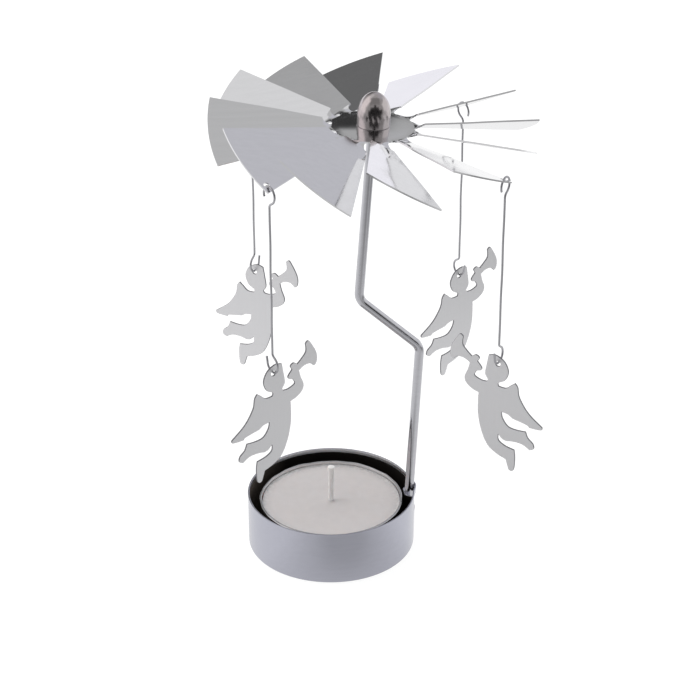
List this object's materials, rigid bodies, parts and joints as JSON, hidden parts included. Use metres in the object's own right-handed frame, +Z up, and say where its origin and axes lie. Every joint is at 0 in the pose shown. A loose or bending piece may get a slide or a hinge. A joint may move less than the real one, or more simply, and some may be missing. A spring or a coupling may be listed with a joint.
{
  "type": "rotating candle holder",
  "caption": "Tealight holder: a steel cup with a bent rod on whose point a bladed rotor balances, turned by the candle's warm air and hung with trumpeting angels.",
  "frame": {"origin": "centre of the candle cup's underside, on the table", "axes": "+Z up, +X from the cup's centre towards the foot of the support rod"},
  "size_m": [0.0799, 0.08, 0.1252],
  "materials": {
    "polished_steel": "mirror polished sheet steel",
    "polished_rod": "polished drawn rod",
    "steel_wire": "bright drawn wire",
    "satin_steel": "satin sheet steel",
    "tealight_aluminium": "bright pressed foil",
    "candle_wax": "smooth wax",
    "cotton_wick": "waxed cotton"
  },
  "bodies": {
    "base": {"candle_cup": "polished_steel", "support_rod": "polished_rod"},
    "tealight": {"tealight_cup": "tealight_aluminium", "tealight_wax": "candle_wax", "tealight_wick": "cotton_wick", "wick_sustainer": "tealight_aluminium"},
    "rotor": {"rotor_sheet": "polished_steel", "pivot_cap": "polished_steel"},
    "hanger_back_right": {"hanger_back_right": "steel_wire"},
    "hanger_back_left": {"hanger_back_left": "steel_wire"},
    "hanger_front_left": {"hanger_front_left": "steel_wire"},
    "hanger_front_right": {"hanger_front_right": "steel_wire"},
    "angel_back_right": {"angel_back_right": "satin_steel"},
    "angel_back_left": {"angel_back_left": "satin_steel"},
    "angel_front_left": {"angel_front_left": "satin_steel"},
    "angel_front_right": {"angel_front_right": "satin_steel"}
  },
  "joints": [
    {"name": "rotor_spin", "type": "hinge", "parent": "base", "child": "rotor", "pos_m": [0.01107, 0, 0.1246], "axis": [0, 0, 1], "continuous": true},
    {"name": "tealight_lift", "type": "slide", "parent": "base", "child": "tealight", "axis": [0, 0, 1], "range_m": [0, 0.018]},
    {"name": "hanger_back_right_swing", "type": "hinge", "parent": "rotor", "child": "hanger_back_right", "pos_m": [0.03827, 0.02714, 0.10906], "axis": [0.8805, 0.4741, 0], "range_deg": [-30, 30]},
    {"name": "hanger_back_left_swing", "type": "hinge", "parent": "rotor", "child": "hanger_back_left", "pos_m": [-0.0164, 0.02736, 0.11367], "axis": [-0.7969, 0.6041, 0], "range_deg": [-30, 30]},
    {"name": "hanger_front_left_swing", "type": "hinge", "parent": "rotor", "child": "hanger_front_left", "pos_m": [-0.01736, -0.02643, 0.11122], "axis": [-0.866, -0.5, 0], "range_deg": [-30, 30]},
    {"name": "hanger_front_right_swing", "type": "hinge", "parent": "rotor", "child": "hanger_front_right", "pos_m": [0.03772, -0.02687, 0.1106], "axis": [0.7779, -0.6283, 0], "range_deg": [-30, 30]},
    {"name": "angel_back_right_swing", "type": "hinge", "parent": "hanger_back_right", "child": "angel_back_right", "pos_m": [0.03827, 0.02714, 0.06256], "axis": [-0.4741, 0.8805, 0], "range_deg": [-40, 40]},
    {"name": "angel_back_left_swing", "type": "hinge", "parent": "hanger_back_left", "child": "angel_back_left", "pos_m": [-0.0164, 0.02736, 0.06717], "axis": [-0.6041, -0.7969, 0], "range_deg": [-40, 40]},
    {"name": "angel_front_left_swing", "type": "hinge", "parent": "hanger_front_left", "child": "angel_front_left", "pos_m": [-0.01736, -0.02643, 0.06532], "axis": [0.5, -0.866, 0], "range_deg": [-40, 40]},
    {"name": "angel_front_right_swing", "type": "hinge", "parent": "hanger_front_right", "child": "angel_front_right", "pos_m": [0.03772, -0.02687, 0.0641], "axis": [0.6283, 0.7779, 0], "range_deg": [-40, 40]}
  ]
}
